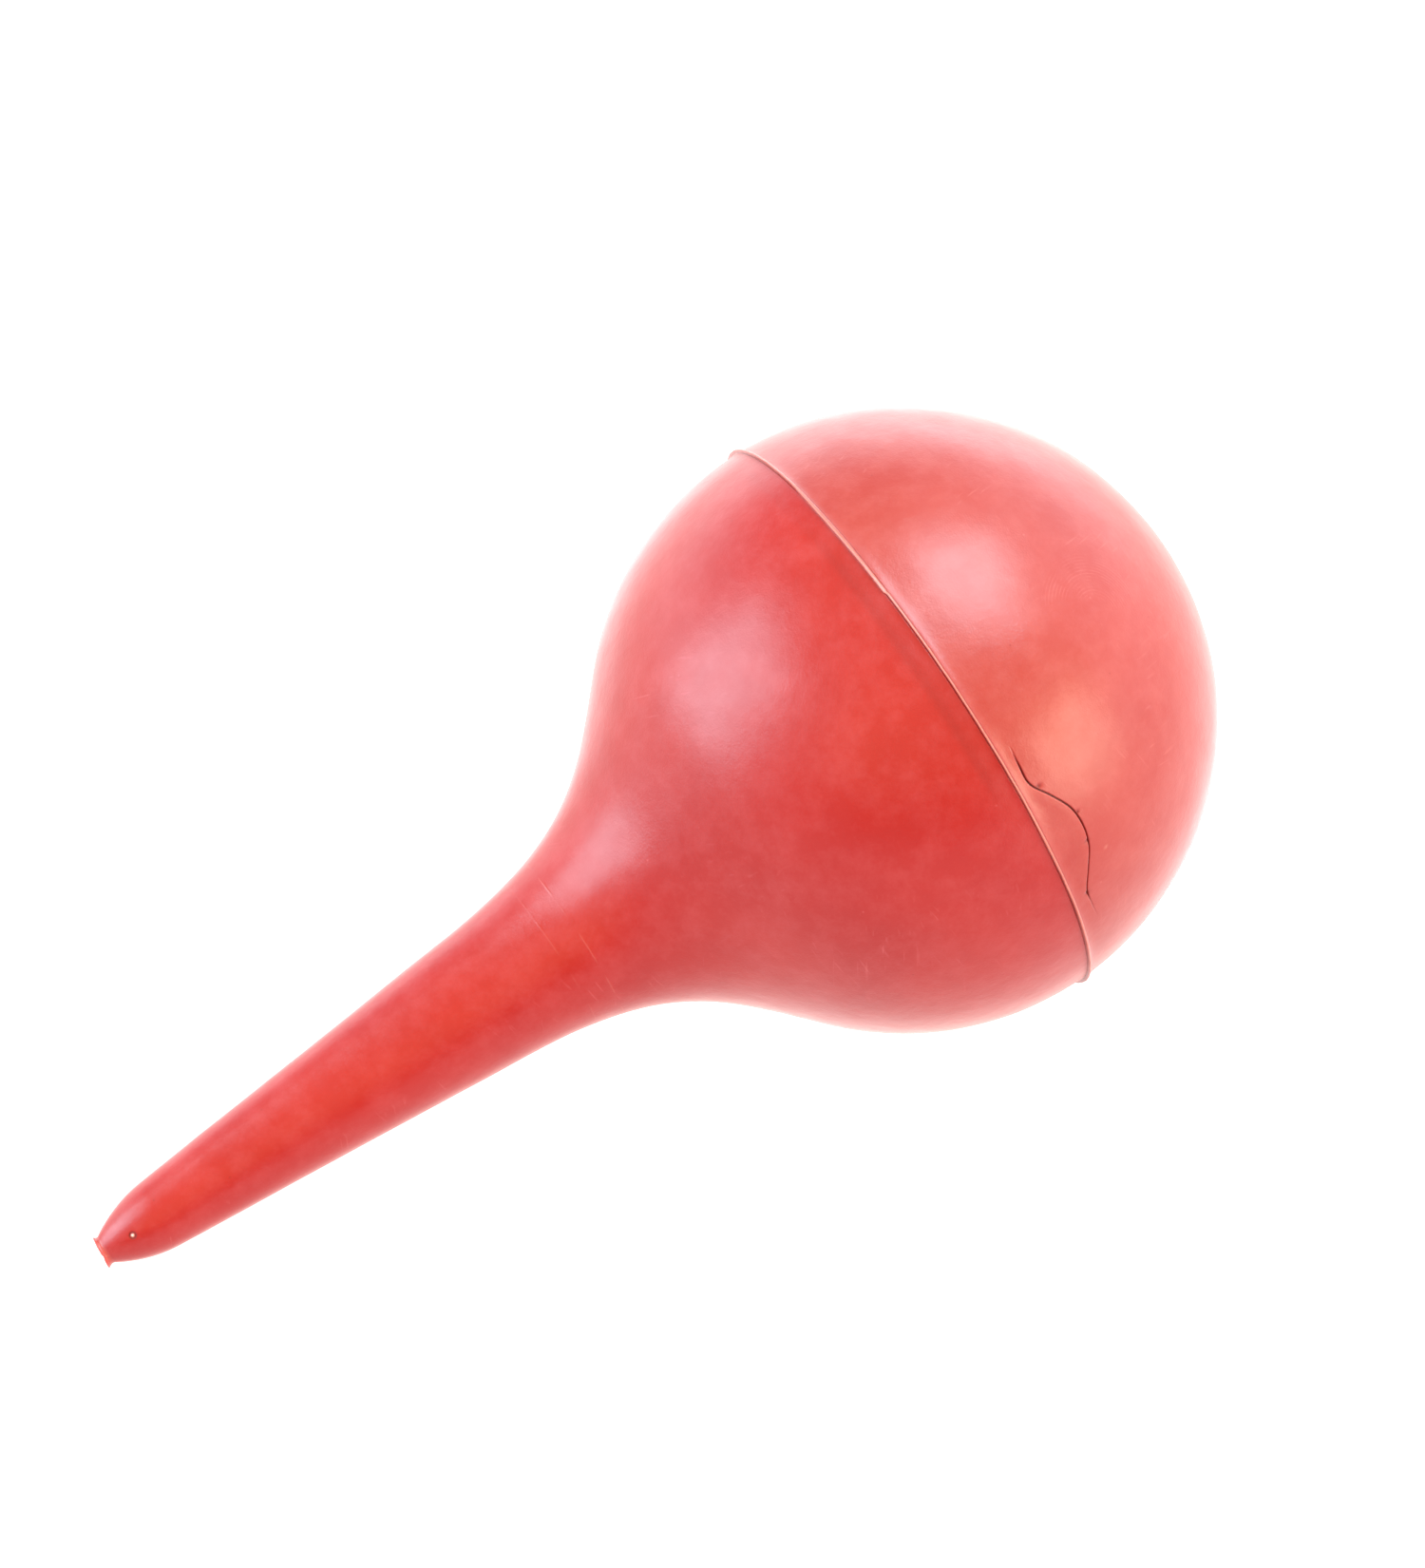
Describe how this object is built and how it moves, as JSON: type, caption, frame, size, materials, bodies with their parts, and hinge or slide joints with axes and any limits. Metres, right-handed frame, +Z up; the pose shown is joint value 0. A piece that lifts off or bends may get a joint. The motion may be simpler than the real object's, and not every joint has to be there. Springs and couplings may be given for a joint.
{
  "type": "rubber suction bulb",
  "caption": "Round rubber suction bulb with a tapered nozzle; pressing the rear crown pumps air or liquid through the mouth.",
  "frame": {"origin": "on the floor, at the middle of the part's footprint box", "axes": "+Z up; the nozzle points to -X and leans 18.2 degrees nose-down, so that the ball and the nozzle's end both rest on the floor; the part is symmetric about the plane y = 0"},
  "size_m": [0.117, 0.061, 0.06],
  "materials": {
    "red_rubber": "matte satin natural rubber with a faint bloom"
  },
  "bodies": {
    "front": {"nozzle": "red_rubber", "front_shell": "red_rubber", "seam_flash": "red_rubber"},
    "rear": {"rear_crown": "red_rubber", "rear_wall": "red_rubber"}
  },
  "joints": [
    {"name": "squeeze", "type": "slide", "parent": "front", "child": "rear", "axis": [-0.9501, 0, -0.312], "range_m": [0, 0.02], "stiffness_N_per_m": 1000, "deforming": ["rear_wall"]}
  ]
}
